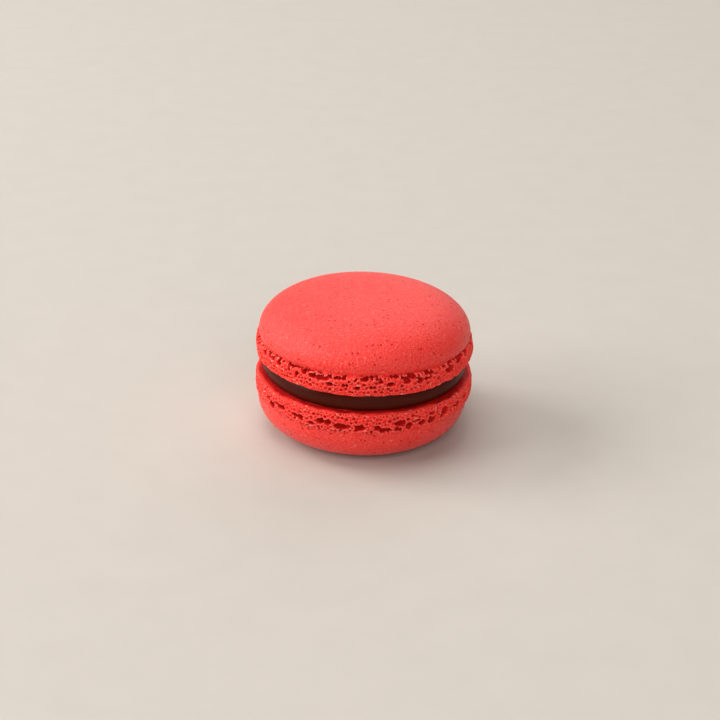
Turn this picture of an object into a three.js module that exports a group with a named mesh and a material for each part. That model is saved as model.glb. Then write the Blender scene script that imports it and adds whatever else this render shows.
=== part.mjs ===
// A French macaron: two round almond shells with a disc of ganache between them.
// Each shell is one baked piece, with a flat face on the filling, a rough risen foot round its edge
// and a smooth domed cap. The lower shell lies dome down and rests on a small flat spot.
// Millimetres, +Z up. The origin is on the resting plane, under the middle of the biscuit.

import * as THREE from "three";

// Both shells
const CAP_RADIUS = 22.15;
const CAP_WIDEST_RISE = 0.9;
const SKIN_EDGE_RISE = 0.02;
const FOOT_RADIUS = 22.85;
const FACE_RADIUS = 22.1;
const FOOT_BLUNTNESS = 0.6;

// The shells differ a little in height and outline: each wave is [waves in a turn, size, phase].
// The large torn cavities that show at the front of each foot are
// [degrees from the front towards the right, height above the flat face, width, height].
const TOP_SHELL = {
  faceUp: false,
  skinEdgeRadius: 21.85,
  footHeight: 4.1,
  domeHeight: 7.5,
  domeFullness: 3.1,
  seed: 11,
  capWaves: [[1, 0.08, Math.PI], [2, 0.06, 1.1], [3, 0.05, 0.4], [5, 0.03, 2.2]],
  footWaves: [[2, 0.1, 2.6], [3, 0.08, 4.1], [7, 0.06, 0.9], [13, 0.05, 1.7]],
  seenCavities: [
    [-66, 3.2, 1.6, 1.0], [-59, 4.1, 0.9, 0.4], [-58, 3.4, 2.6, 0.9], [-51, 3.1, 1.3, 1.1],
    [-51, 4.1, 0.8, 0.3], [-45, 4.1, 1.0, 0.3], [-45, 2.6, 0.6, 0.8], [-43, 3.0, 0.8, 0.8],
    [-42, 3.7, 1.8, 0.7], [-38, 4.0, 0.7, 0.4], [-38, 2.3, 0.6, 1.0], [-37, 2.9, 0.6, 0.5],
    [-36, 4.0, 1.2, 0.4], [-33, 3.5, 1.3, 0.9], [-30, 4.0, 1.2, 0.5], [-29, 2.2, 0.6, 0.5],
    [-28, 3.4, 1.6, 0.9], [-24, 3.2, 1.4, 0.9], [-24, 4.1, 1.2, 0.4], [-21, 3.3, 1.4, 0.8],
    [-18, 3.7, 0.8, 0.6], [-18, 2.4, 1.2, 0.9], [-15, 2.2, 0.6, 0.4], [-13, 3.7, 2.6, 0.6],
    [-10, 2.3, 1.3, 0.6], [-8, 3.1, 0.6, 0.5], [-7, 1.0, 1.1, 0.4], [-5, 3.5, 0.6, 0.4],
    [-4, 2.0, 0.9, 0.8], [0, 3.7, 1.2, 0.8], [4, 2.1, 1.3, 0.6], [5, 4.1, 1.4, 0.3],
    [8, 3.2, 1.0, 0.6], [13, 2.8, 1.4, 1.0], [16, 3.9, 1.2, 0.4], [22, 2.8, 1.2, 0.8],
    [23, 3.6, 2.6, 0.8], [28, 3.3, 0.8, 0.6], [29, 2.5, 1.2, 0.9], [34, 2.7, 1.8, 0.8],
    [35, 3.7, 2.2, 0.8], [39, 3.2, 1.0, 0.6], [41, 2.0, 0.8, 0.8], [45, 3.8, 1.2, 0.5],
    [49, 3.7, 0.9, 0.5], [50, 2.8, 2.2, 1.3], [59, 3.5, 2.0, 1.4], [68, 3.5, 1.6, 1.2],
  ],
  tornLevel: [0.8, 0.92],
};
const BOTTOM_SHELL = {
  faceUp: true,
  skinEdgeRadius: 22,
  footHeight: 4.3,
  domeHeight: 7.8,
  domeFullness: 5.2,
  seed: 29,
  capWaves: [[1, 0.22, Math.PI], [2, 0.06, 0.3], [3, 0.04, 3.4], [5, 0.03, 5]],
  footWaves: [[2, 0.09, 0.8], [3, 0.07, 5.5], [7, 0.06, 3.1], [13, 0.05, 4.4]],
  seenCavities: [
    [-65, 2.4, 1.0, 0.8], [-59, 1.9, 0.9, 0.9], [-56, 2.8, 1.8, 1.3], [-52, 1.9, 1.0, 0.6],
    [-48, 2.3, 2.0, 1.1], [-41, 3.2, 0.5, 0.4], [-40, 1.5, 0.5, 0.4], [-38, 3.4, 0.7, 0.5],
    [-36, 2.4, 2.6, 1.1], [-28, 3.1, 1.2, 0.8], [-24, 3.6, 0.5, 0.5], [-24, 0.9, 0.4, 0.4],
    [-21, 2.3, 3.2, 1.1], [-12, 3.0, 2.3, 1.4], [-8, 2.6, 1.0, 0.7], [-7, 3.5, 0.5, 0.4],
    [-4, 3.5, 0.7, 0.5], [-4, 1.6, 0.5, 0.4], [-2, 2.9, 1.9, 1.2], [2, 2.6, 0.6, 0.4],
    [4, 3.6, 0.5, 0.4], [7, 2.9, 1.2, 1.1], [8, 1.8, 0.5, 0.4], [10, 3.3, 1.2, 1.0],
    [13, 3.3, 1.1, 0.8], [18, 3.4, 1.6, 0.7], [19, 2.2, 2.0, 1.1], [24, 3.0, 1.4, 1.3],
    [28, 2.2, 2.2, 0.5], [30, 1.5, 0.5, 0.4], [32, 3.1, 1.5, 1.1], [38, 1.6, 1.2, 0.7],
    [38, 2.9, 1.8, 1.2], [43, 2.4, 0.5, 0.4], [45, 2.9, 0.9, 1.2], [47, 2.0, 1.9, 1.5],
    [52, 2.5, 0.8, 0.9], [58, 2.3, 1.5, 1.2], [67, 1.9, 1.6, 1.2],
  ],
  tornLevel: [0.5, 0.7],
};

// Ganache
const FILLING_HEIGHT = 4.2;
const FILLING_FACE_RADIUS = 20.9;
const FILLING_BULGE = 0.55;

// The biscuit leans to its right, and the filling is a little thicker on that side.
const LEAN = THREE.MathUtils.degToRad(1.45);
const WEDGE = THREE.MathUtils.degToRad(0.3);
const FLAT_SPOT_DEPTH = 0.2;
const CONTACT_GAP = 0.3;

// Crags of the feet: torn cavities like the seen ones round the rest of the foot,
// smaller pores everywhere, and crumbs
const SEEN_HALF_SPAN = THREE.MathUtils.degToRad(77);
const TORN = { count: 42, halfWidth: [0.5, 1.5], halfHeight: [0.35, 0.6] };
const PORES = { count: 90, halfWidth: [0.35, 0.7], halfHeight: [0.3, 0.5], level: [0.2, 0.9] };
const SCATTER = 0.8;
const DEPTH_PER_HEIGHT = 0.9;
const CRUMB_SIZE = 0.3;

// Points round each ring, and rings over each stretch
const FOOT_POINTS = 180;
const CAP_POINTS = 60;
const CROWN_POINTS = 30;
const FOOT_RINGS = 12;
const DOME_RINGS = 9;
const CROWN_RINGS = 3;
const FILLING_POINTS = 60;
const FILLING_RINGS = 7;
const FACE_RING_RADIUS = 14;
const FACE_MARGIN = 1.5;

const TURN = 2 * Math.PI;

// A repeatable stream of numbers from 0 to 1
function randomFrom(seed) {
  let state = seed;
  return () => {
    state = (state * 1664525 + 1013904223) % 4294967296;
    return state / 4294967296;
  };
}

const between = ([low, high], share) => low + (high - low) * share;

const unevenness = (waves, angle) =>
  waves.reduce((sum, [count, size, phase]) => sum + size * Math.cos(count * angle + phase), 0);

// Joins two rings, whose numbers of points may differ, by a band of triangles that face outwards.
function joinRings(lower, upper, index) {
  const addTriangle = (...corners) => {
    if (new Set(corners).size === 3) index.push(...corners);
  };
  const pointOf = (ring, i) => ring.start + (i % ring.count);
  let i = 0;
  let j = 0;
  while (i < lower.count || j < upper.count) {
    if ((i + 1) / lower.count < (j + 1) / upper.count) {
      addTriangle(pointOf(lower, i), pointOf(lower, i + 1), pointOf(upper, j));
      i += 1;
    } else {
      addTriangle(pointOf(lower, i), pointOf(upper, j + 1), pointOf(upper, j));
      j += 1;
    }
  }
}

// A closed solid from rings that run from the middle of its underside to the middle of its top.
// A ring is { count, at }, where at(angle) gives the radius and height there.
function ringSolid(rings) {
  const positions = [];
  const index = [];
  let previous = null;
  for (const { count, at } of rings) {
    const ring = { start: positions.length / 3, count };
    for (let i = 0; i < count; i += 1) {
      const angle = (TURN * i) / count;
      const [radius, height] = at(angle);
      positions.push(radius * Math.cos(angle), radius * Math.sin(angle), height);
    }
    if (previous) joinRings(previous, ring, index);
    previous = ring;
  }
  const geometry = new THREE.BufferGeometry();
  geometry.setAttribute("position", new THREE.Float32BufferAttribute(positions, 3));
  geometry.setIndex(index);
  geometry.computeVertexNormals();
  return geometry;
}

// The cavities of one foot: the seen ones, then seeded draws for the rest of the turn
function cavitiesOf(shell) {
  const random = randomFrom(shell.seed);
  const turned = shell.faceUp ? -1 : 1;
  const front = (turned * -Math.PI) / 2;
  const seen = shell.seenCavities.map(([degrees, height, width, tall]) => ({
    angle: front + turned * THREE.MathUtils.degToRad(degrees),
    height,
    halfWidth: width / 2,
    halfHeight: tall / 2,
  }));
  const drawn = ({ count, halfWidth, halfHeight, level = shell.tornLevel }) =>
    Array.from({ length: count }, (_, i) => ({
      angle: front + (TURN * (i + SCATTER * random())) / count,
      height: shell.footHeight * between(level, random()),
      halfWidth: between(halfWidth, random()),
      halfHeight: between(halfHeight, random()),
    }));
  const torn = drawn(TORN).filter(({ angle }) => apart(angle, front) > SEEN_HALF_SPAN);
  return [...seen, ...torn, ...drawn(PORES)];
}

// The angle between two directions, from 0 to half a turn
function apart(a, b) {
  const turns = Math.abs(a - b) % TURN;
  return Math.min(turns, TURN - turns);
}

// How deep the cavities go at a place on the foot, each one a bowl
function cavityDepth(cavities, angle, height) {
  const depths = cavities.map((cavity) => {
    const across = (apart(angle, cavity.angle) * FOOT_RADIUS) / cavity.halfWidth;
    const along = (height - cavity.height) / cavity.halfHeight;
    const bowl = Math.sqrt(Math.max(0, 1 - across * across - along * along));
    return 2 * cavity.halfHeight * DEPTH_PER_HEIGHT * bowl;
  });
  return Math.max(...depths);
}

// Rings of the foot, which bulges like a barrel from the flat face to the groove under the cap
function footRings(shell) {
  const cavities = cavitiesOf(shell);
  const random = randomFrom(shell.seed + 1);
  return Array.from({ length: FOOT_RINGS }, (_, i) => {
    const swing = Math.PI * (i / (FOOT_RINGS - 1) - 0.5);
    const fullness = Math.max(0, Math.cos(swing)) ** FOOT_BLUNTNESS;
    const height = (shell.footHeight * (1 + Math.sin(swing))) / 2;
    const inner = between([FACE_RADIUS, shell.skinEdgeRadius], i / (FOOT_RINGS - 1));
    const barrel = inner + (FOOT_RADIUS - inner) * fullness;
    return {
      count: FOOT_POINTS,
      at: (angle) => {
        const torn = cavityDepth(cavities, angle, height) * fullness;
        const crumbs = CRUMB_SIZE * (random() - 0.5) * fullness;
        const outline = unevenness(shell.footWaves, angle) * fullness;
        return [barrel + outline + crumbs - torn, height];
      },
    };
  });
}

// Rings of the cap: its skin flares from the edge over the foot to the widest level, then domes over.
function capRings(shell) {
  const smooth = (count, radius, height) => ({
    count,
    at: (angle) => [
      radius + (unevenness(shell.capWaves, angle) * radius) / CAP_RADIUS,
      height,
    ],
  });
  const widestLevel = shell.footHeight + CAP_WIDEST_RISE;
  const domeAt = (radius) =>
    widestLevel +
    shell.domeHeight * Math.sqrt(1 - (radius / CAP_RADIUS) ** shell.domeFullness);
  const flare = (shell.skinEdgeRadius + CAP_RADIUS) / 2;
  const rings = [
    smooth(FOOT_POINTS, shell.skinEdgeRadius, shell.footHeight + SKIN_EDGE_RISE),
    smooth(CAP_POINTS, flare, shell.footHeight + CAP_WIDEST_RISE / 4),
  ];
  let radius = CAP_RADIUS;
  for (let i = 0; i < DOME_RINGS; i += 1) {
    const swing = ((Math.PI / 2) * i) / DOME_RINGS;
    radius = CAP_RADIUS * Math.cos(swing) ** (2 / shell.domeFullness);
    rings.push(smooth(CAP_POINTS, radius, domeAt(radius)));
  }
  for (let i = 1; i < CROWN_RINGS; i += 1) {
    const inner = radius * (1 - i / CROWN_RINGS);
    rings.push(smooth(CROWN_POINTS, inner, domeAt(inner)));
  }
  rings.push(smooth(1, 0, domeAt(0)));
  return rings;
}

// One shell, with its flat face down on z = 0 and its cap up
function shellGeometry(shell) {
  const face = [
    { count: 1, at: () => [0, 0] },
    { count: CROWN_POINTS, at: () => [FACE_RADIUS / 2, 0] },
    { count: CAP_POINTS, at: () => [FACE_RADIUS - FACE_MARGIN, 0] },
  ];
  return ringSolid([...face, ...footRings(shell), ...capRings(shell)]);
}

// The ganache: a disc with a soft bulging side, and a top face that slopes by the wedge
function fillingGeometry() {
  const topHeight = (radius, angle) =>
    FILLING_HEIGHT - 2 * CONTACT_GAP + radius * Math.cos(angle) * Math.tan(WEDGE);
  const rings = [
    { count: 1, at: () => [0, 0] },
    { count: CROWN_POINTS, at: () => [FACE_RING_RADIUS, 0] },
  ];
  for (let i = 0; i < FILLING_RINGS; i += 1) {
    const swing = Math.PI * (i / (FILLING_RINGS - 1) - 0.5);
    const radius = FILLING_FACE_RADIUS + FILLING_BULGE * Math.cos(swing) ** FOOT_BLUNTNESS;
    const rise = (1 + Math.sin(swing)) / 2;
    rings.push({ count: FILLING_POINTS, at: (angle) => [radius, rise * topHeight(radius, angle)] });
  }
  rings.push({
    count: CROWN_POINTS,
    at: (angle) => [FACE_RING_RADIUS, topHeight(FACE_RING_RADIUS, angle)],
  });
  rings.push({ count: 1, at: () => [0, topHeight(0, 0)] });
  return ringSolid(rings);
}

function namedMesh(name, geometry, material) {
  const mesh = new THREE.Mesh(geometry, material);
  mesh.name = name;
  return mesh;
}

const shellMaterial = () =>
  new THREE.MeshStandardMaterial({ color: 0xf0524b, roughness: 0.62, metalness: 0 });
const ganacheMaterial = () =>
  new THREE.MeshStandardMaterial({ color: 0x3f1d16, roughness: 0.42, metalness: 0 });

// Presses the underside of a placed mesh flat on the resting plane.
function pressFlat(mesh) {
  mesh.updateWorldMatrix(true, false);
  const toLocal = mesh.matrixWorld.clone().invert();
  const points = mesh.geometry.getAttribute("position");
  const point = new THREE.Vector3();
  for (let i = 0; i < points.count; i += 1) {
    point.fromBufferAttribute(points, i).applyMatrix4(mesh.matrixWorld);
    point.z = Math.max(0, point.z);
    point.applyMatrix4(toLocal);
    points.setXYZ(i, point.x, point.y, point.z);
  }
  mesh.geometry.computeVertexNormals();
}

const bottomShellHeight = BOTTOM_SHELL.footHeight + CAP_WIDEST_RISE + BOTTOM_SHELL.domeHeight;

const bottomShell = namedMesh("shell_bottom", shellGeometry(BOTTOM_SHELL), shellMaterial());
bottomShell.rotation.x = Math.PI;

const filling = namedMesh("filling", fillingGeometry(), ganacheMaterial());
filling.position.z = CONTACT_GAP;

const topShell = namedMesh("shell_top", shellGeometry(TOP_SHELL), shellMaterial());
const lid = new THREE.Group();
lid.position.z = FILLING_HEIGHT;
lid.rotation.y = -WEDGE;
lid.add(topShell);

// The stack turns about the middle of the lower shell's flat face.
const stack = new THREE.Group();
stack.position.z = bottomShellHeight - FLAT_SPOT_DEPTH;
stack.rotation.y = LEAN;
stack.add(bottomShell, filling, lid);

const macaron = new THREE.Group();
macaron.add(stack);
pressFlat(bottomShell);

// Puts the origin under the middle of the biscuit's box.
const middle = new THREE.Box3().setFromObject(macaron, true).getCenter(new THREE.Vector3());
stack.position.x -= middle.x;
stack.position.y -= middle.y;

export default macaron;
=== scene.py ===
import math

import bpy
import numpy as np
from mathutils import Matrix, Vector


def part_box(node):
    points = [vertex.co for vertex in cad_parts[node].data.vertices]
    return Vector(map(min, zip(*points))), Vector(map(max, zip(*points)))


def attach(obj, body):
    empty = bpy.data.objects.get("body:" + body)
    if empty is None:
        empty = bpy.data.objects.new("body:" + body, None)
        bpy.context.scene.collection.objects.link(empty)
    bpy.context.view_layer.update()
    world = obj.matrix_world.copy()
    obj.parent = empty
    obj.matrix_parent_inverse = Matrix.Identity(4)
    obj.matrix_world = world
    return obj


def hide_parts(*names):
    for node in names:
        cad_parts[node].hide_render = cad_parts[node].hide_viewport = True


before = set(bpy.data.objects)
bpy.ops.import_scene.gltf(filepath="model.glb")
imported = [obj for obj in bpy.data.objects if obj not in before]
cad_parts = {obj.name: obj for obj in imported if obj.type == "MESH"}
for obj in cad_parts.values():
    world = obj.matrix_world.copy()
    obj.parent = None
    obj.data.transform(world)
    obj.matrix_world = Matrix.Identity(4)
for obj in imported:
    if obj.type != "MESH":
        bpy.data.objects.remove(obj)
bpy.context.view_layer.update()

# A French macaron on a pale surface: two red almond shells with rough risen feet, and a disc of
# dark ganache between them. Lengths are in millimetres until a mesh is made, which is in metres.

import openvdb
from mathutils import Matrix, Vector

MM = 0.001
TURN = 2 * math.pi

# Both shells, as in the solids but with feet a little squarer at the flat face
CAP_RADIUS = 22.15
CAP_WIDEST_RISE = 0.9
FOOT_RADIUS = 22.85
FACE_RADIUS = 22.25
FOOT_BLUNTNESS = 0.48

# Each wave is (waves in a turn, size, phase). The large torn cavities that show at the front are
# (degrees from the front towards the right, height above the flat face, width, height).
TOP_SHELL = {
    "name": "shell_top",
    "face_up": False,
    "skin_edge_radius": 21.85,
    "foot_height": 4.1,
    "dome_height": 7.5,
    "dome_fullness": 3.1,
    "seed": 11,
    "cap_waves": ((1, 0.08, math.pi), (2, 0.06, 1.1), (3, 0.05, 0.4), (5, 0.03, 2.2)),
    "foot_waves": ((2, 0.1, 2.6), (3, 0.08, 4.1), (7, 0.06, 0.9), (13, 0.05, 1.7)),
    "seen_cavities": (
        (-66, 3.2, 1.6, 1.0), (-59, 4.1, 0.9, 0.4), (-58, 3.4, 2.6, 0.9), (-51, 3.1, 1.3, 1.1),
        (-51, 4.1, 0.8, 0.3), (-45, 4.1, 1.0, 0.3), (-45, 2.6, 0.6, 0.8), (-43, 3.0, 0.8, 0.8),
        (-42, 3.7, 1.8, 0.7), (-38, 4.0, 0.7, 0.4), (-38, 2.3, 0.6, 1.0), (-37, 2.9, 0.6, 0.5),
        (-36, 4.0, 1.2, 0.4), (-33, 3.5, 1.3, 0.9), (-30, 4.0, 1.2, 0.5), (-29, 2.2, 0.6, 0.5),
        (-28, 3.4, 1.6, 0.9), (-24, 3.2, 1.4, 0.9), (-24, 4.1, 1.2, 0.4), (-21, 3.3, 1.4, 0.8),
        (-18, 3.7, 0.8, 0.6), (-18, 2.4, 1.2, 0.9), (-15, 2.2, 0.6, 0.4), (-13, 3.7, 2.6, 0.6),
        (-10, 2.3, 1.3, 0.6), (-8, 3.1, 0.6, 0.5), (-7, 1.0, 1.1, 0.4), (-5, 3.5, 0.6, 0.4),
        (-4, 2.0, 0.9, 0.8), (0, 3.7, 1.2, 0.8), (4, 2.1, 1.3, 0.6), (5, 4.1, 1.4, 0.3),
        (8, 3.2, 1.0, 0.6), (13, 2.8, 1.4, 1.0), (16, 3.9, 1.2, 0.4), (22, 2.8, 1.2, 0.8),
        (23, 3.6, 2.6, 0.8), (28, 3.3, 0.8, 0.6), (29, 2.5, 1.2, 0.9), (34, 2.7, 1.8, 0.8),
        (35, 3.7, 2.2, 0.8), (39, 3.2, 1.0, 0.6), (41, 2.0, 0.8, 0.8), (45, 3.8, 1.2, 0.5),
        (49, 3.7, 0.9, 0.5), (50, 2.8, 2.2, 1.3), (59, 3.5, 2.0, 1.4), (68, 3.5, 1.6, 1.2),
    ),
    "torn_level": (0.8, 0.92),
    "lip_rounding": 0.25,
    "pore_levels": ((0.22, 0.95), (0.14, 0.95), (0.1, 0.96)),
}
BOTTOM_SHELL = {
    "name": "shell_bottom",
    "face_up": True,
    "skin_edge_radius": 22.0,
    "foot_height": 4.3,
    "dome_height": 7.8,
    "dome_fullness": 5.2,
    "seed": 29,
    "cap_waves": ((1, 0.22, math.pi), (2, 0.06, 0.3), (3, 0.04, 3.4), (5, 0.03, 5.0)),
    "foot_waves": ((2, 0.09, 0.8), (3, 0.07, 5.5), (7, 0.06, 3.1), (13, 0.05, 4.4)),
    "seen_cavities": (
        (-65, 2.4, 1.0, 0.8), (-59, 1.9, 0.9, 0.9), (-56, 2.8, 1.8, 1.3), (-52, 1.9, 1.0, 0.6),
        (-48, 2.3, 2.0, 1.1), (-41, 3.2, 0.5, 0.4), (-40, 1.5, 0.5, 0.4), (-38, 3.4, 0.7, 0.5),
        (-36, 2.4, 2.6, 1.1), (-28, 3.1, 1.2, 0.8), (-24, 3.6, 0.5, 0.5), (-24, 0.9, 0.4, 0.4),
        (-21, 2.3, 3.2, 1.1), (-12, 3.0, 2.3, 1.4), (-8, 2.6, 1.0, 0.7), (-7, 3.5, 0.5, 0.4),
        (-4, 3.5, 0.7, 0.5), (-4, 1.6, 0.5, 0.4), (-2, 2.9, 1.9, 1.2), (2, 2.6, 0.6, 0.4),
        (4, 3.6, 0.5, 0.4), (7, 2.9, 1.2, 1.1), (8, 1.8, 0.5, 0.4), (10, 3.3, 1.2, 1.0),
        (13, 3.3, 1.1, 0.8), (18, 3.4, 1.6, 0.7), (19, 2.2, 2.0, 1.1), (24, 3.0, 1.4, 1.3),
        (28, 2.2, 2.2, 0.5), (30, 1.5, 0.5, 0.4), (32, 3.1, 1.5, 1.1), (38, 1.6, 1.2, 0.7),
        (38, 2.9, 1.8, 1.2), (43, 2.4, 0.5, 0.4), (45, 2.9, 0.9, 1.2), (47, 2.0, 1.9, 1.5),
        (52, 2.5, 0.8, 0.9), (58, 2.3, 1.5, 1.2), (67, 1.9, 1.6, 1.2),
    ),
    "torn_level": (0.5, 0.7),
    "lip_rounding": 0.12,
    "pore_levels": ((0.2, 0.9), (0.05, 0.93), (0.03, 0.97)),
}

# Ganache
FILLING_HEIGHT = 4.2
FILLING_FACE_RADIUS = 20.3
FILLING_MIDDLE_RADIUS = 14
FILLING_BULGE = 1.15
FILLING_BLUNTNESS = 1.0
FILLING_ROWS = 36
FILLING_WAVES = ((3, 0.05, 0.7), (5, 0.04, 2.9), (8, 0.03, 4.4), (13, 0.015, 1.2), (23, 0.008, 0.2))

# How the stack stands: it leans to the right, and the upper shell leans a little less.
LEAN = math.radians(1.45)
WEDGE = math.radians(0.3)
FLAT_SPOT_DEPTH = 0.2

# Cavities round the rest of each foot. Scatter is the share of the space between two of them by
# which each may be off its place.
SEEN_HALF_SPAN = math.radians(77)
TORN = {"count": 42, "scatter": 0.8, "half_width": (0.5, 1.5), "half_height": (0.35, 0.6)}

# The foot is carved in a grid of this pitch that reaches a little past it on all sides. Its values
# are true distances within a few cells of the surface.
VOXEL = 0.12
GRID_MARGIN = 1
CELLS_BELOW = 4
TRUE_CELLS = 3
WEB_ROUNDING = 0.04

# The foot is a ring round the core, and reaches a little way up into the skin. It is lumpy all over,
# and lumps are (size, depth). Bubbles follow the lumpy side, by this reach at most.
FOOT_INNER_RADIUS = 20.3
FOOT_OVERLAP = 0.1
FOOT_TOP_ROUNDING = 0.15
LUMPS = ((1.7, 0.06), (0.75, 0.05), (0.4, 0.02))
LUMPS_REACH = 0.2

# A large cavity is a row of lobes, more of them the flatter it is. A lobe's shift and height are
# shares of the cavity's half height, and its width a share of its part of the half width. It goes
# inwards by the least plus a share of the half height, and lies deeper when it is near the skin.
LOBES_PER_SHAPE = 0.8
LOBE_SHIFT = (-0.3, 0.3)
LOBE_SIZE = (1.0, 1.35)
LOBE_DEPTH = (0.1, 0.25)
LOBE_INWARDS_LEAST = 0.4
LOBE_INWARDS_SHARE = 2.2
LOBE_INWARDS_LIMIT = 1.5
NEAR_SKIN = 0.8
NEAR_SKIN_DEPTH = 0.5

# Smaller bubbles break the rim of each lobe. Their size is a share of the lobe's half height, and
# their top level a share of the foot's height.
NIBBLES = 3
NIBBLE_SIZE = (0.3, 0.6)
NIBBLE_TOP = 0.97

# Pores are drawn largest first, (draws, smallest and largest radius), and keep a thin web between
# them. Their shape is in shares of that radius.
PORE_DRAWS = ((2500, (0.28, 0.42)), (3500, (0.2, 0.28)), (6000, (0.14, 0.2)))
PORE_SHAPE = {"across": (0.9, 1.2), "tall": (0.8, 1.05), "inwards": (1.2, 2.0), "depth": (-0.1, 0.6)}
WEB = 0.05

# The skin of the cap ends in a ragged edge over the foot, with a row of small holes under it.
# Presence is the share of the holes that are there, and sunk a share of their half height.
SKIN_THICKNESS = 0.35
EDGE_HOLES = {
    "count": 160,
    "scatter": 0.7,
    "presence": 0.7,
    "half_width": (0.22, 0.5),
    "half_height": (0.18, 0.36),
    "inwards": (0.6, 0.9),
    "depth": 0.4,
    "below_skin": 0.1,
    "sunk": 0.7,
}

# Over each hole the skin is bitten away, this high over a hole of the half height named next.
BITE_HEIGHT = 0.35
BITTEN_HALF_HEIGHT = 0.3

# The edge of the skin frills in waves, so many in a turn, that die out up to the widest place.
FRILLS = (37, 61, 97, 139, 173)
FRILL_SIZE = 0.035

# The edge of the skin, from its underside round to its side: (step out from its radius, raggedness,
# step up from the foot's top, raggedness)
SKIN_EDGE = (
    (-0.3, 0.5, -0.12, 1),
    (-0.05, 1, -0.08, 1),
    (0, 1, 0.01, 1),
    (0.05, 0.8, 0.12, 0.8),
)

# Rings between the skin's edge and the widest place, as shares of the way up
FLARE_SHARES = (0.35, 0.55, 0.75)
FLARE_RAGGEDNESS = 0.8

# The core starts just above the flat face. Rings have most points at the skin's edge, and fewest
# in the last part of the dome, from the crown's share of its rings on.
CORE_RADIUS = 20.6
CORE_MIDDLE_RADIUS = 14
CORE_CHAMFER = 0.2
CORE_RISE = 0.03
EDGE_POINTS = 720
DOME_RINGS = 44
CROWN_SHARE = 0.8

# Each finished shell has at most this many triangles, and its depths under the foot's side are
# noted down to this depth.
TRIANGLE_LIMIT = 195000
DEEPEST_MARK = 2


def random_from(seed):
    """A repeatable stream of numbers from 0 to 1, the same as in the solids."""
    state = seed
    while True:
        state = (state * 1664525 + 1013904223) % 4294967296
        yield state / 4294967296


def between(limits, share):
    """The value that far along from the first limit to the second."""
    return limits[0] + (limits[1] - limits[0]) * share


def unevenness(waves, angle):
    """The sum of the waves at an angle round the axis."""
    return sum(size * np.cos(count * angle + phase) for count, size, phase in waves)


def apart(a, b):
    """The smaller of the two angles between two directions."""
    turns = abs(a - b) % TURN
    return min(turns, TURN - turns)


def mesh_object(name, points, faces):
    """A smooth-shaded object from points in millimetres and faces of three or four corners."""
    mesh = bpy.data.meshes.new(name)
    mesh.from_pydata((np.asarray(points) * MM).tolist(), [], [tuple(face) for face in faces])
    mesh.shade_smooth()
    piece = bpy.data.objects.new(name, mesh)
    bpy.context.scene.collection.objects.link(piece)
    return piece


# Turned bodies


def join_rings(lower, upper, faces):
    """Joins two rings, (first point, number of points), by a band that faces outwards."""
    i = j = 0
    while i < lower[1] or j < upper[1]:
        here = lower[0] + i % lower[1]
        there = upper[0] + j % upper[1]
        next_here = lower[0] + (i + 1) % lower[1]
        next_there = upper[0] + (j + 1) % upper[1]
        if lower[1] == upper[1]:
            faces.append((here, next_here, next_there, there))
            i += 1
            j += 1
        elif (i + 1) / lower[1] < (j + 1) / upper[1]:
            faces.append((here, next_here, there))
            i += 1
        else:
            faces.append((here, next_there, there))
            j += 1


def turned_body(rings):
    """A closed surface from rings, middle of the underside first: (points, radius, height),
    where radius and height may be functions of the angle."""
    points = []
    faces = []
    previous = None
    for count, radius, height in rings:
        angle = np.arange(count) * TURN / count
        r = radius(angle) if callable(radius) else np.full(count, radius)
        z = height(angle) if callable(height) else np.full(count, height)
        ring = (len(points), count)
        points.extend(zip(r * np.cos(angle), r * np.sin(angle), z))
        if previous:
            join_rings(previous, ring, faces)
        previous = ring
    faces = [tuple(dict.fromkeys(face)) for face in faces]
    return points, [face for face in faces if len(face) > 2]


# Carved feet


def cavities_of(shell):
    """The seen cavities, then a seeded draw of torn ones for the rest of the turn."""
    random = random_from(shell["seed"])
    turned = -1 if shell["face_up"] else 1
    front = -turned * math.pi / 2
    cavities = [
        (front + turned * math.radians(degrees), height, width / 2, tall / 2)
        for degrees, height, width, tall in shell["seen_cavities"]
    ]
    for i in range(TORN["count"]):
        angle = front + TURN * (i + TORN["scatter"] * next(random)) / TORN["count"]
        height = shell["foot_height"] * between(shell["torn_level"], next(random))
        half_width = between(TORN["half_width"], next(random))
        half_height = between(TORN["half_height"], next(random))
        if apart(angle, front) > SEEN_HALF_SPAN:
            cavities.append((angle, height, half_width, half_height))
    return cavities


def barrel_radius(shell, height):
    """The foot's radius at a height above the flat face, before its crags."""
    share = np.clip(2 * height / shell["foot_height"] - 1, -1, 1)
    swing = np.arcsin(share)
    inner = between((FACE_RADIUS, shell["skin_edge_radius"]), swing / math.pi + 0.5)
    return inner + (FOOT_RADIUS - inner) * np.maximum(0, np.cos(swing)) ** FOOT_BLUNTNESS


def smooth_max(a, b, rounding):
    """The larger of two distances, with a rounded edge where the two surfaces meet."""
    blend = np.maximum(rounding - np.abs(a - b), 0) / rounding
    return np.maximum(a, b) + blend * blend * rounding / 4


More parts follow.
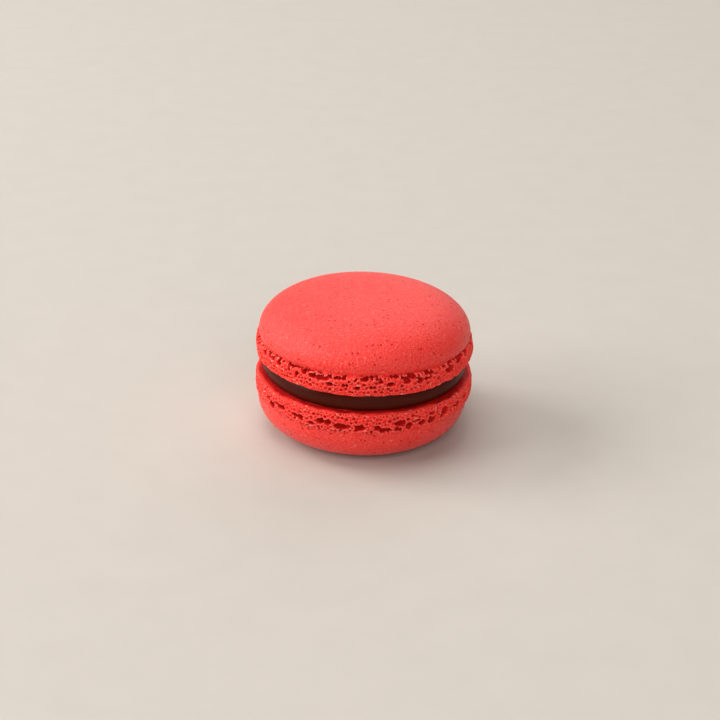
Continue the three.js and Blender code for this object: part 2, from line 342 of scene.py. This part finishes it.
class FootField:
    """Distance to the foot's surface on a grid: negative inside, in millimetres."""

    def __init__(self, shell):
        self.shell = shell
        self.taken = np.empty((0, 3))
        height = shell["foot_height"]
        half = FOOT_RADIUS + GRID_MARGIN
        self.start = np.array([-half, -half, -CELLS_BELOW * VOXEL])
        self.shape = (
            int(2 * half / VOXEL) + 1,
            int(2 * half / VOXEL) + 1,
            int((height + GRID_MARGIN) / VOXEL) + 2 * CELLS_BELOW,
        )
        self.x, self.y, self.z = (
            self.start[axis] + VOXEL * np.arange(self.shape[axis]) for axis in range(3)
        )
        radius = np.hypot(self.x[:, None], self.y[None, :])[:, :, None]
        angle = np.arctan2(self.y[None, :], self.x[:, None])[:, :, None]
        z = self.z[None, None, :]
        side = radius - barrel_radius(shell, z) - unevenness(shell["foot_waves"], angle)
        random = np.random.default_rng(shell["seed"] + 3)
        lumps = sum(depth * self.soft_noise(random, size) for size, depth in LUMPS)
        body = smooth_max(side + lumps, lumps - z, shell["lip_rounding"])
        body = smooth_max(body, z - height - FOOT_OVERLAP + 2 * lumps, FOOT_TOP_ROUNDING)
        self.body = np.maximum(body, FOOT_INNER_RADIUS - radius).astype(np.float32)

    def soft_noise(self, random, size):
        """Smooth lumps that many millimetres across, of about 1 in height or depth."""
        spreads = []
        for line in (self.x, self.y, self.z):
            knots = np.arange(line[0] - size, line[-1] + 2 * size, size)
            spreads.append(np.exp(-2 * ((line[:, None] - knots) / size) ** 2))
        values = random.standard_normal([spread.shape[1] for spread in spreads])
        return np.einsum("ai,bj,ck,ijk->abc", *spreads, values, optimize=True)

    def bubble(self, angle, height, across, tall, inwards, depth):
        """Carves out an ellipsoid whose centre is at that depth under the lumpy side."""
        outwards = np.array([math.cos(angle), math.sin(angle), 0])
        upwards = np.array([0, 0, height])
        side = barrel_radius(self.shell, height) + unevenness(self.shell["foot_waves"], angle)
        cell = np.rint((side * outwards + upwards - self.start) / VOXEL).astype(int)
        side -= np.clip(self.body[tuple(cell)], -LUMPS_REACH, LUMPS_REACH)
        centre = (side - depth) * outwards + upwards
        reach = max(across, inwards, tall) + TRUE_CELLS * VOXEL
        low = np.maximum(np.floor((centre - reach - self.start) / VOXEL).astype(int), 0)
        high = np.minimum(np.ceil((centre + reach - self.start) / VOXEL).astype(int), self.shape)
        x = self.x[low[0]:high[0], None, None] - centre[0]
        y = self.y[None, low[1]:high[1], None] - centre[1]
        z = self.z[None, None, low[2]:high[2]] - centre[2]
        along = (y * math.cos(angle) - x * math.sin(angle)) / across
        deep = (x * math.cos(angle) + y * math.sin(angle)) / inwards
        distance = (np.sqrt(along**2 + deep**2 + (z / tall) ** 2) - 1) * min(across, inwards, tall)
        block = self.body[low[0]:high[0], low[1]:high[1], low[2]:high[2]]
        block[...] = smooth_max(block, -distance, WEB_ROUNDING)
        self.taken = np.vstack((self.taken, (angle * FOOT_RADIUS, height, (across + tall) / 2)))

    def is_free(self, angle, height, radius):
        """Whether a pore there would leave a web between itself and every bubble so far."""
        arcs, heights, sizes = self.taken.T
        along = np.abs(arcs - angle * FOOT_RADIUS)
        along = np.minimum(along, TURN * FOOT_RADIUS - along)
        return (np.hypot(along, heights - height) >= sizes + radius + WEB).all()

    def surface(self):
        """The largest closed surface of the field: points in millimetres, and faces."""
        grid = openvdb.FloatGrid()
        grid.background = float(TRUE_CELLS)
        cells = np.clip(self.body / VOXEL, -TRUE_CELLS, TRUE_CELLS)
        grid.copyFromArray(cells.astype(np.float32))
        points, quads = grid.convertToQuads(0.0)

        # Each face takes the lowest label among its corners until every body has one label.
        label = np.arange(len(points))
        while True:
            lowest = np.repeat(label[quads].min(axis=1), 4)
            spread = label.copy()
            np.minimum.at(spread, quads.ravel(), lowest)
            spread = spread[spread]
            if (spread == label).all():
                break
            label = spread
        largest = np.bincount(label).argmax()
        quads = quads[label[quads[:, 0]] == largest]
        used, quads = np.unique(quads, return_inverse=True)
        quads = quads.reshape(-1, 4)
        points = points[used] * VOXEL + self.start

        # The faces are turned round if they face inwards.
        corners = points[quads]
        normals = np.cross(corners[:, 2] - corners[:, 0], corners[:, 3] - corners[:, 1])
        if (normals * corners[:, 0]).sum() < 0:
            quads = quads[:, ::-1]
        return points, quads


def edge_holes(shell):
    """Small holes under the edge of the skin: (angle, half width, half height)."""
    random = np.random.default_rng(shell["seed"] + 2)
    count = EDGE_HOLES["count"]
    for i in range(count):
        angle = TURN * (i + EDGE_HOLES["scatter"] * random.random()) / count
        half_width = between(EDGE_HOLES["half_width"], random.random() ** 2)
        half_height = between(EDGE_HOLES["half_height"], random.random())
        if random.random() < EDGE_HOLES["presence"]:
            yield angle, half_width, half_height


def carve_nibbles(field, random, angle, level, across, tall):
    """Small bubbles on the rim of a lobe."""
    highest = NIBBLE_TOP * field.shell["foot_height"]
    for _ in range(NIBBLES):
        turn = TURN * random.random()
        radius = tall * between(NIBBLE_SIZE, random.random())
        nibble_angle = (angle + across * math.cos(turn) / FOOT_RADIUS) % TURN
        nibble_level = min(level + tall * math.sin(turn), highest)
        field.bubble(nibble_angle, nibble_level, radius, radius, 2 * radius, 0)


def carve_cavities(field, random):
    """The large cavities, each a row of lobes with a broken rim."""
    for angle, level, half_width, half_height in cavities_of(field.shell):
        lobes = max(1, round(LOBES_PER_SHAPE * half_width / half_height))
        inwards = LOBE_INWARDS_SHARE * half_height + LOBE_INWARDS_LEAST
        inwards = min(LOBE_INWARDS_LIMIT, inwards)
        under_skin = max(0, 1 - (field.shell["foot_height"] - level) / NEAR_SKIN)
        for lobe in range(lobes):
            offset = (2 * lobe + 1 - lobes) / lobes * half_width
            lobe_angle = (angle + offset / FOOT_RADIUS) % TURN
            lobe_level = level + half_height * between(LOBE_SHIFT, random.random())
            across = half_width / lobes * between(LOBE_SIZE, random.random())
            tall = half_height * between(LOBE_SIZE, random.random())
            depth = between(LOBE_DEPTH, random.random()) + NEAR_SKIN_DEPTH * under_skin
            field.bubble(lobe_angle, lobe_level, across, tall, inwards, depth)
            carve_nibbles(field, random, lobe_angle, lobe_level, across, tall)


def carve_edge_holes(field, random):
    """The row of small holes right under the skin."""
    under_skin = field.shell["foot_height"] - EDGE_HOLES["below_skin"]
    for angle, half_width, half_height in edge_holes(field.shell):
        level = under_skin - EDGE_HOLES["sunk"] * half_height
        inwards = between(EDGE_HOLES["inwards"], random.random())
        field.bubble(angle, level, half_width, half_height, inwards, EDGE_HOLES["depth"])


def carve_pores(field, random):
    """Pores wherever the larger holes leave room for them."""
    for (draws, radii), levels in zip(PORE_DRAWS, field.shell["pore_levels"]):
        for _ in range(draws):
            angle = TURN * random.random()
            level = field.shell["foot_height"] * between(levels, random.random())
            radius = between(radii, random.random())
            if field.is_free(angle, level, radius):
                shape = {
                    name: radius * between(limits, random.random())
                    for name, limits in PORE_SHAPE.items()
                }
                field.bubble(angle, level, **shape)


def carve_foot(shell):
    """The foot as a ring whose side is broken by cavities, edge holes and pores."""
    field = FootField(shell)
    random = np.random.default_rng(shell["seed"])
    carve_cavities(field, random)
    carve_edge_holes(field, random)
    carve_pores(field, random)
    return field.surface()


# Shells


def bites_at(shell, around):
    """How far the edge of the skin is bitten away upwards, at each of these angles."""
    bites = np.zeros(len(around))
    for angle, half_width, half_height in edge_holes(shell):
        away = np.abs((around - angle + math.pi) % TURN - math.pi) * FOOT_RADIUS / half_width
        rise = BITE_HEIGHT * half_height / BITTEN_HALF_HEIGHT
        bites = np.maximum(bites, rise * np.clip(1 - away**2, 0, 1))
    return bites


def cap_and_core(shell):
    """The smooth cap, with the core that runs down inside the foot to the flat face."""
    foot_height = shell["foot_height"]
    widest = foot_height + CAP_WIDEST_RISE
    edge = shell["skin_edge_radius"]
    random = np.random.default_rng(shell["seed"] + 1)
    frills = [(waves, FRILL_SIZE, random.random() * TURN) for waves in FRILLS]
    around = np.arange(EDGE_POINTS) * TURN / EDGE_POINTS
    bites = bites_at(shell, around)

    def uneven(radius, ragged=0.0):
        return lambda angle: (
            radius
            + unevenness(shell["cap_waves"], angle) * radius / CAP_RADIUS
            + ragged * unevenness(frills, angle)
        )

    def level(height, ragged=0.0):
        return lambda angle: (
            height + ragged * (unevenness(frills, angle + 1) + np.interp(angle, around, bites))
        )

    def dome(radius):
        share = radius / CAP_RADIUS
        return widest + shell["dome_height"] * math.sqrt(1 - share ** shell["dome_fullness"])

    half = EDGE_POINTS // 2
    quarter = EDGE_POINTS // 4
    eighth = EDGE_POINTS // 8
    rings = [
        (1, 0, CORE_RISE),
        (eighth, CORE_MIDDLE_RADIUS / 2, CORE_RISE),
        (quarter, CORE_MIDDLE_RADIUS, CORE_RISE),
        (half, CORE_RADIUS - CORE_CHAMFER, CORE_RISE),
        (half, CORE_RADIUS, CORE_CHAMFER),
        (half, CORE_RADIUS, foot_height / 2),
        (EDGE_POINTS, CORE_RADIUS, foot_height - SKIN_THICKNESS),
    ]
    for out, ragged_side, up, ragged_height in SKIN_EDGE:
        side = uneven(edge + out, ragged_side)
        rings.append((EDGE_POINTS, side, level(foot_height + up, ragged_height)))
    for share in FLARE_SHARES:
        flare = between((edge, CAP_RADIUS), math.sin(share * math.pi / 2))
        height = foot_height + CAP_WIDEST_RISE * share
        ragged_height = FLARE_RAGGEDNESS * (1 - share)
        rings.append((EDGE_POINTS, uneven(flare, 1 - share), level(height, ragged_height)))
    for step in range(DOME_RINGS):
        swing = step / DOME_RINGS * math.pi / 2
        radius = CAP_RADIUS * math.cos(swing) ** (2 / shell["dome_fullness"])
        count = half if step < DOME_RINGS * CROWN_SHARE else quarter
        rings.append((count, uneven(radius), dome(radius)))
    crown = radius
    for share in (0.75, 0.5, 0.25):
        rings.append((eighth, uneven(crown * share), dome(crown * share)))
    rings.append((1, 0, dome(0)))
    return turned_body(rings)


def apply_modifiers(piece):
    """Makes what the piece's modifiers do to it its own mesh."""
    evaluated = piece.evaluated_get(bpy.context.evaluated_depsgraph_get())
    mesh = bpy.data.meshes.new_from_object(evaluated)
    piece.modifiers.clear()
    piece.data = mesh


def united(first, second):
    """Joins two closed objects into the first one, and removes the second."""
    join = first.modifiers.new("join", "BOOLEAN")
    join.operation = "UNION"
    join.solver = "MANIFOLD"
    join.material_mode = "TRANSFER"
    join.object = second
    apply_modifiers(first)
    bpy.data.objects.remove(second)
    return first


def thin_out(piece):
    """Brings the piece under the limit of triangles, and keeps most of them where it is rough."""
    triangles = sum(len(face.vertices) - 2 for face in piece.data.polygons)
    thin = piece.modifiers.new("thin", "DECIMATE")
    thin.ratio = min(1.0, TRIANGLE_LIMIT / triangles)
    apply_modifiers(piece)


def mark_depth(mesh, shell):
    """Notes how far each point lies under the foot's side, for the shade painted into the crumb's
    hollows.
    """
    points = np.empty(3 * len(mesh.vertices), np.float32)
    mesh.vertices.foreach_get("co", points)
    x, y, z = points.reshape(-1, 3).T / MM
    envelope = barrel_radius(shell, z) + unevenness(shell["foot_waves"], np.arctan2(y, x))
    depth = np.clip(envelope - np.hypot(x, y), 0, DEEPEST_MARK)
    mesh.attributes.new("depth", "FLOAT", "POINT").data.foreach_set("value", depth)


def make_shell(shell, place, skin, crumb):
    """One baked shell in its place, flat where it would sink below the surface."""
    piece = mesh_object(shell["name"] + "_baked", *cap_and_core(shell))
    piece.data.materials.append(skin)
    foot = mesh_object("foot", *carve_foot(shell))
    foot.data.materials.append(crumb)
    piece = united(piece, foot)
    thin_out(piece)
    mark_depth(piece.data, shell)
    piece.data.transform(place)
    for vertex in piece.data.vertices:
        vertex.co.z = max(0.0, vertex.co.z)
    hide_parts(shell["name"])
    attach(piece, "root")
    return piece


# Ganache


def make_filling(place, ganache):
    """A disc that bulges softly and a little unevenly between the two flat faces."""
    around = 384
    around_middle = 96

    def top(radius, angle):
        return FILLING_HEIGHT + radius * np.cos(angle) * math.tan(WEDGE)

    def side(radius, bulge):
        return lambda angle: radius + bulge * unevenness(FILLING_WAVES, angle)

    def level(radius, rise):
        return lambda angle: rise * top(radius, angle)

    rings = [(1, 0, 0), (around_middle, FILLING_MIDDLE_RADIUS, 0)]
    for row in range(FILLING_ROWS + 1):
        swing = math.pi * (row / FILLING_ROWS - 0.5)
        bulge = max(0.0, math.cos(swing)) ** FILLING_BLUNTNESS
        rise = (1 + math.sin(swing)) / 2
        radius = FILLING_FACE_RADIUS + FILLING_BULGE * bulge
        rings.append((around, side(radius, bulge), level(radius, rise)))
    rings.append((around_middle, FILLING_MIDDLE_RADIUS, level(FILLING_MIDDLE_RADIUS, 1)))
    rings.append((1, 0, level(0, 1)))
    piece = mesh_object("ganache", *turned_body(rings))
    piece.data.materials.append(ganache)
    piece.data.transform(place)
    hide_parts("filling")
    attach(piece, "root")
    return piece


# Materials


def srgb(red, green, blue):
    """A colour given in 8-bit screen values, as linear light."""
    values = [v / 255 for v in (red, green, blue)]
    linear = [v / 12.92 if v <= 0.04045 else ((v + 0.055) / 1.055) ** 2.4 for v in values]
    return (*linear, 1.0)


class Shader:
    """A node material with textures measured in millimetres."""

    def __init__(self, name):
        self.material = bpy.data.materials.new(name)
        self.material.use_nodes = True
        self.nodes = self.material.node_tree.nodes
        self.links = self.material.node_tree.links
        self.surface = self.nodes["Principled BSDF"]
        place = self.add("ShaderNodeTexCoord").outputs["Object"]
        self.place = self.math("MULTIPLY", place, 1 / MM, vector=True)

    def add(self, kind, **inputs):
        """A new node, with its inputs by name and an underscore for each space."""
        node = self.nodes.new(kind)
        for name, value in inputs.items():
            self.set(node.inputs[name.replace("_", " ")], value)
        return node

    def set(self, socket, value):
        """Links the socket to another one, or gives it a plain value."""
        if isinstance(value, bpy.types.NodeSocket):
            self.links.new(value, socket)
        else:
            socket.default_value = value

    def math(self, operation, a, b, vector=False):
        """The operation on two numbers, or on a vector and the same number three times."""
        node = self.nodes.new("ShaderNodeVectorMath" if vector else "ShaderNodeMath")
        node.operation = operation
        self.set(node.inputs[0], a)
        self.set(node.inputs[1], (b, b, b) if vector else b)
        return node.outputs[0]

    def noise(self, size, detail=2.0, roughness=0.5):
        """Noise whose features are about that many millimetres across."""
        node = self.add("ShaderNodeTexNoise", Vector=self.place, Scale=1 / size, Detail=detail)
        node.inputs["Roughness"].default_value = roughness
        return node.outputs["Fac"]

    def ramp(self, value, low, high, to_low=0.0, to_high=1.0):
        """Goes evenly from to_low to to_high while the value goes from low to high."""
        node = self.add("ShaderNodeMapRange", Value=value, From_Min=low, From_Max=high)
        node.inputs["To Min"].default_value = to_low
        node.inputs["To Max"].default_value = to_high
        return node.outputs["Result"]

    def mix(self, share, a, b):
        """Colour a, with that share of colour b."""
        first_colour, second_colour, mixed_colour = 6, 7, 2
        node = self.nodes.new("ShaderNodeMix")
        node.data_type = "RGBA"
        self.set(node.inputs["Factor"], share)
        self.set(node.inputs[first_colour], a)
        self.set(node.inputs[second_colour], b)
        return node.outputs[mixed_colour]

    def pinpricks(self, spacing, size, share):
        """1 in the middle of tiny pits, 0 between them. Only that share of the pits is there."""
        cells = self.add("ShaderNodeTexVoronoi", Vector=self.place, Scale=1 / spacing)
        draw = self.add("ShaderNodeSeparateColor", Color=cells.outputs["Color"])
        there = self.math("LESS_THAN", draw.outputs["Red"], share)
        pit = self.ramp(cells.outputs["Distance"], 0.0, size / spacing, 1.0, 0.0)
        return self.math("MULTIPLY", there, pit)

    def glow_through(self, share, reach):
        """Lets light wander under the surface, as far as reach for red, green and blue."""
        self.surface.inputs["Subsurface Weight"].default_value = share
        self.surface.inputs["Subsurface Radius"].default_value = reach
        self.surface.inputs["Subsurface Scale"].default_value = MM

    def finish(self, colour, roughness, height, depth):
        """Links the colour, roughness and a bump whose height field is in units of depth."""
        bump = self.add("ShaderNodeBump", Strength=1.0, Distance=depth * MM, Height=height)
        self.set(self.surface.inputs["Base Color"], colour)
        self.set(self.surface.inputs["Roughness"], roughness)
        self.links.new(bump.outputs["Normal"], self.surface.inputs["Normal"])
        return self.material


# How far light wanders in the baked meringue, in millimetres, for red, green and blue
SOFT_REACH = (1.2, 0.3, 0.2)
SOFT_SHARE = 0.3


def skin_material():
    """Smooth baked meringue: fine orange peel, pinprick pits whose shade is painted deep red, and
    pale specks painted as glints of light.
    """
    shader = Shader("macaron_skin")
    deep_red = srgb(230, 8, 4)
    pit_shade_red = srgb(200, 4, 4)
    pale_red = srgb(255, 130, 118)
    glint_pink = srgb(255, 150, 138)
    tone = shader.mix(shader.noise(6, 3), srgb(243, 42, 31), srgb(248, 49, 37))
    grain = shader.noise(0.28, 2, 0.6)
    specks = shader.noise(0.55, 2, 0.6)
    # The dark side of the fine grain is the skin's own deeper red. Painted glints: the pale side of
    # the grain and the sparse pale specks lighten the skin where its tiny ridges would catch the
    # light.
    tone = shader.mix(shader.ramp(grain, 0.3, 0.46, 0.9, 0.0), tone, deep_red)
    tone = shader.mix(shader.ramp(grain, 0.56, 0.72, 0.0, 0.6), tone, pale_red)
    tone = shader.mix(shader.ramp(specks, 0.64, 0.7, 0.0, 0.5), tone, glint_pink)
    large_pits = shader.pinpricks(1.5, 0.34, 0.7)
    small_pits = shader.pinpricks(0.9, 0.2, 0.5)
    pits = shader.math("MAXIMUM", large_pits, small_pits)
    # Painted shade: the tiny pits have no depth of their own, so the shade in them is painted as a
    # deep red.
    tone = shader.mix(shader.ramp(pits, 0.0, 0.5), tone, pit_shade_red)
    orange_peel = shader.noise(0.45, 2, 0.6)
    roughness = shader.ramp(shader.noise(1.5, 2), 0.3, 0.7, 0.4, 0.5)
    roughness = shader.math("MAXIMUM", roughness, shader.ramp(pits, 0.0, 0.4))
    shader.surface.inputs["Specular IOR Level"].default_value = 0.45
    shader.surface.inputs["Sheen Weight"].default_value = 0.08
    shader.glow_through(SOFT_SHARE, SOFT_REACH)
    return shader.finish(tone, roughness, orange_peel, 0.3)


def crumb_material():
    """The torn, airy inside that shows at the feet: the sharp ridges of its webs are painted pale as
    highlights, and the shade in its pores and cavities is painted deeper red the deeper they go.
    """
    shader = Shader("macaron_crumb")
    deep_red = srgb(190, 7, 6)
    pale_red = srgb(255, 130, 118)
    ridge_highlight_pink = srgb(255, 140, 126)
    tone = shader.mix(shader.noise(2.5, 3), srgb(246, 43, 33), srgb(250, 50, 40))
    grain = shader.noise(0.3, 2, 0.6)
    tone = shader.mix(shader.ramp(grain, 0.5, 0.75, 0.0, 0.2), tone, pale_red)
    # Painted highlight: the sharpest ridges of the webs are lightened to a pale pink.
    ridges = shader.add("ShaderNodeNewGeometry").outputs["Pointiness"]
    tone = shader.mix(shader.ramp(ridges, 0.52, 0.6, 0.0, 0.8), tone, ridge_highlight_pink)
    # Painted shade: points that lie deeper under the foot's side are darkened towards a deep red.
    depth = shader.add("ShaderNodeAttribute")
    depth.attribute_name = "depth"
    inside = shader.ramp(depth.outputs["Fac"], 0.2, 0.7)
    tone = shader.mix(inside, tone, deep_red)
    shader.surface.inputs["Specular IOR Level"].default_value = 0.25
    shader.glow_through(SOFT_SHARE, SOFT_REACH)
    roughness = shader.ramp(grain, 0.3, 0.7, 0.55, 0.7)
    return shader.finish(tone, roughness, grain, 0.1)


def ganache_material():
    """Dark chocolate ganache with a soft satin gloss."""
    shader = Shader("dark_ganache")
    tone = shader.mix(shader.noise(3, 2), srgb(64, 15, 4), srgb(74, 20, 6))
    grain = shader.noise(0.4, 3, 0.6)
    roughness = shader.ramp(grain, 0.3, 0.7, 0.3, 0.4)
    shader.surface.inputs["Specular IOR Level"].default_value = 0.1
    return shader.finish(tone, roughness, grain, 0.05)


def surface_material():
    """A pale, warm, matt surface with a faint mottle."""
    shader = Shader("pale_surface")
    tone = shader.mix(shader.noise(9, 4), srgb(187, 179, 169), srgb(193, 185, 175))
    grain = shader.noise(0.8, 3)
    roughness = shader.ramp(grain, 0.3, 0.7, 0.75, 0.85)
    return shader.finish(tone, roughness, grain, 0.02)


# The setting


FLOOR_REACH = 2000

# Square lights, all at one distance: (name, direction towards it, size, brightness), where the
# brightness is that of a white surface which faces it.
LIGHT_DISTANCE = 1500
LIGHTS = (
    ("overhead", (-0.2, 0.1, 0.95), 1100, 0.52),
    ("window", (-0.78, 0.27, 0.56), 550, 0.5),
    ("left", (-0.9, -0.2, 0.4), 800, 0.55),
    ("back", (0.2, 0.75, 0.6), 1200, 0.3),
    ("fill", (0.15, -0.8, 0.55), 1000, 0.45),
)
ROOM_COLOUR = (1.0, 0.9, 0.82, 1.0)
ROOM_STRENGTH = 0.1


def make_floor():
    """A pale surface that reaches far past the picture."""
    far = FLOOR_REACH
    corners = [(-far, -far, 0), (far, -far, 0), (far, far, 0), (-far, far, 0)]
    floor = mesh_object("floor", corners, [(0, 1, 2, 3)])
    floor.data.materials.append(surface_material())


def soft_light(name, direction, size, brightness):
    """A square area light that shines at the biscuit from that direction."""
    light = bpy.data.lights.new(name, "AREA")
    light.size = size * MM
    light.energy = brightness * (math.pi * LIGHT_DISTANCE * MM) ** 2
    lamp = bpy.data.objects.new(name, light)
    towards = Vector(direction).normalized()
    lamp.location = towards * LIGHT_DISTANCE * MM
    lamp.rotation_euler = towards.to_track_quat("Z", "Y").to_euler()
    bpy.context.scene.collection.objects.link(lamp)


def make_lights():
    """The soft lights, and a faint warm glow from all round."""
    for light in LIGHTS:
        soft_light(*light)
    world = bpy.data.worlds.new("room")
    world.use_nodes = True
    background = world.node_tree.nodes["Background"]
    background.inputs["Color"].default_value = ROOM_COLOUR
    background.inputs["Strength"].default_value = ROOM_STRENGTH
    bpy.context.scene.world = world


# The camera looks along +Y and down on the biscuit, through an 85 mm lens.
CAMERA_AIM = (-0.8, 0.85, 14.0)
CAMERA_ELEVATION = math.radians(25.5)
CAMERA_DISTANCE = 361
CAMERA_LENS = 85
CAMERA_SENSOR = 36
NEAREST_SEEN = 10


def make_camera():
    """The camera at the photograph's angle."""
    lens = bpy.data.cameras.new("camera")
    lens.lens = CAMERA_LENS
    lens.sensor_width = CAMERA_SENSOR
    lens.clip_start = NEAREST_SEEN * MM
    camera = bpy.data.objects.new("camera", lens)
    back = Vector((0, -math.cos(CAMERA_ELEVATION), math.sin(CAMERA_ELEVATION)))
    camera.location = (Vector(CAMERA_AIM) + back * CAMERA_DISTANCE) * MM
    camera.rotation_euler = (math.pi / 2 - CAMERA_ELEVATION, 0, 0)
    bpy.context.scene.collection.objects.link(camera)
    bpy.context.scene.camera = camera


def stack_places():
    """Where the lower shell, the filling and the upper shell go, in metres."""
    low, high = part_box("filling")
    lower_height = BOTTOM_SHELL["foot_height"] + CAP_WIDEST_RISE + BOTTOM_SHELL["dome_height"]
    middle_rise = math.sin(LEAN) * FILLING_HEIGHT / 2
    stack = Matrix.Translation((
        (low[0] + high[0]) / 2 - middle_rise * MM,
        (low[1] + high[1]) / 2,
        (lower_height - FLAT_SPOT_DEPTH) * MM,
    )) @ Matrix.Rotation(LEAN, 4, "Y")
    lower = stack @ Matrix.Rotation(math.pi, 4, "X")
    upper = stack @ Matrix.Translation((0, 0, FILLING_HEIGHT * MM)) @ Matrix.Rotation(-WEDGE, 4, "Y")
    return lower, stack, upper


lower_place, filling_place, upper_place = stack_places()
skin = skin_material()
crumb = crumb_material()
make_shell(BOTTOM_SHELL, lower_place, skin, crumb)
make_filling(filling_place, ganache_material())
make_shell(TOP_SHELL, upper_place, skin, crumb)
make_floor()
make_lights()
make_camera()
bpy.context.scene.view_settings.view_transform = "Standard"
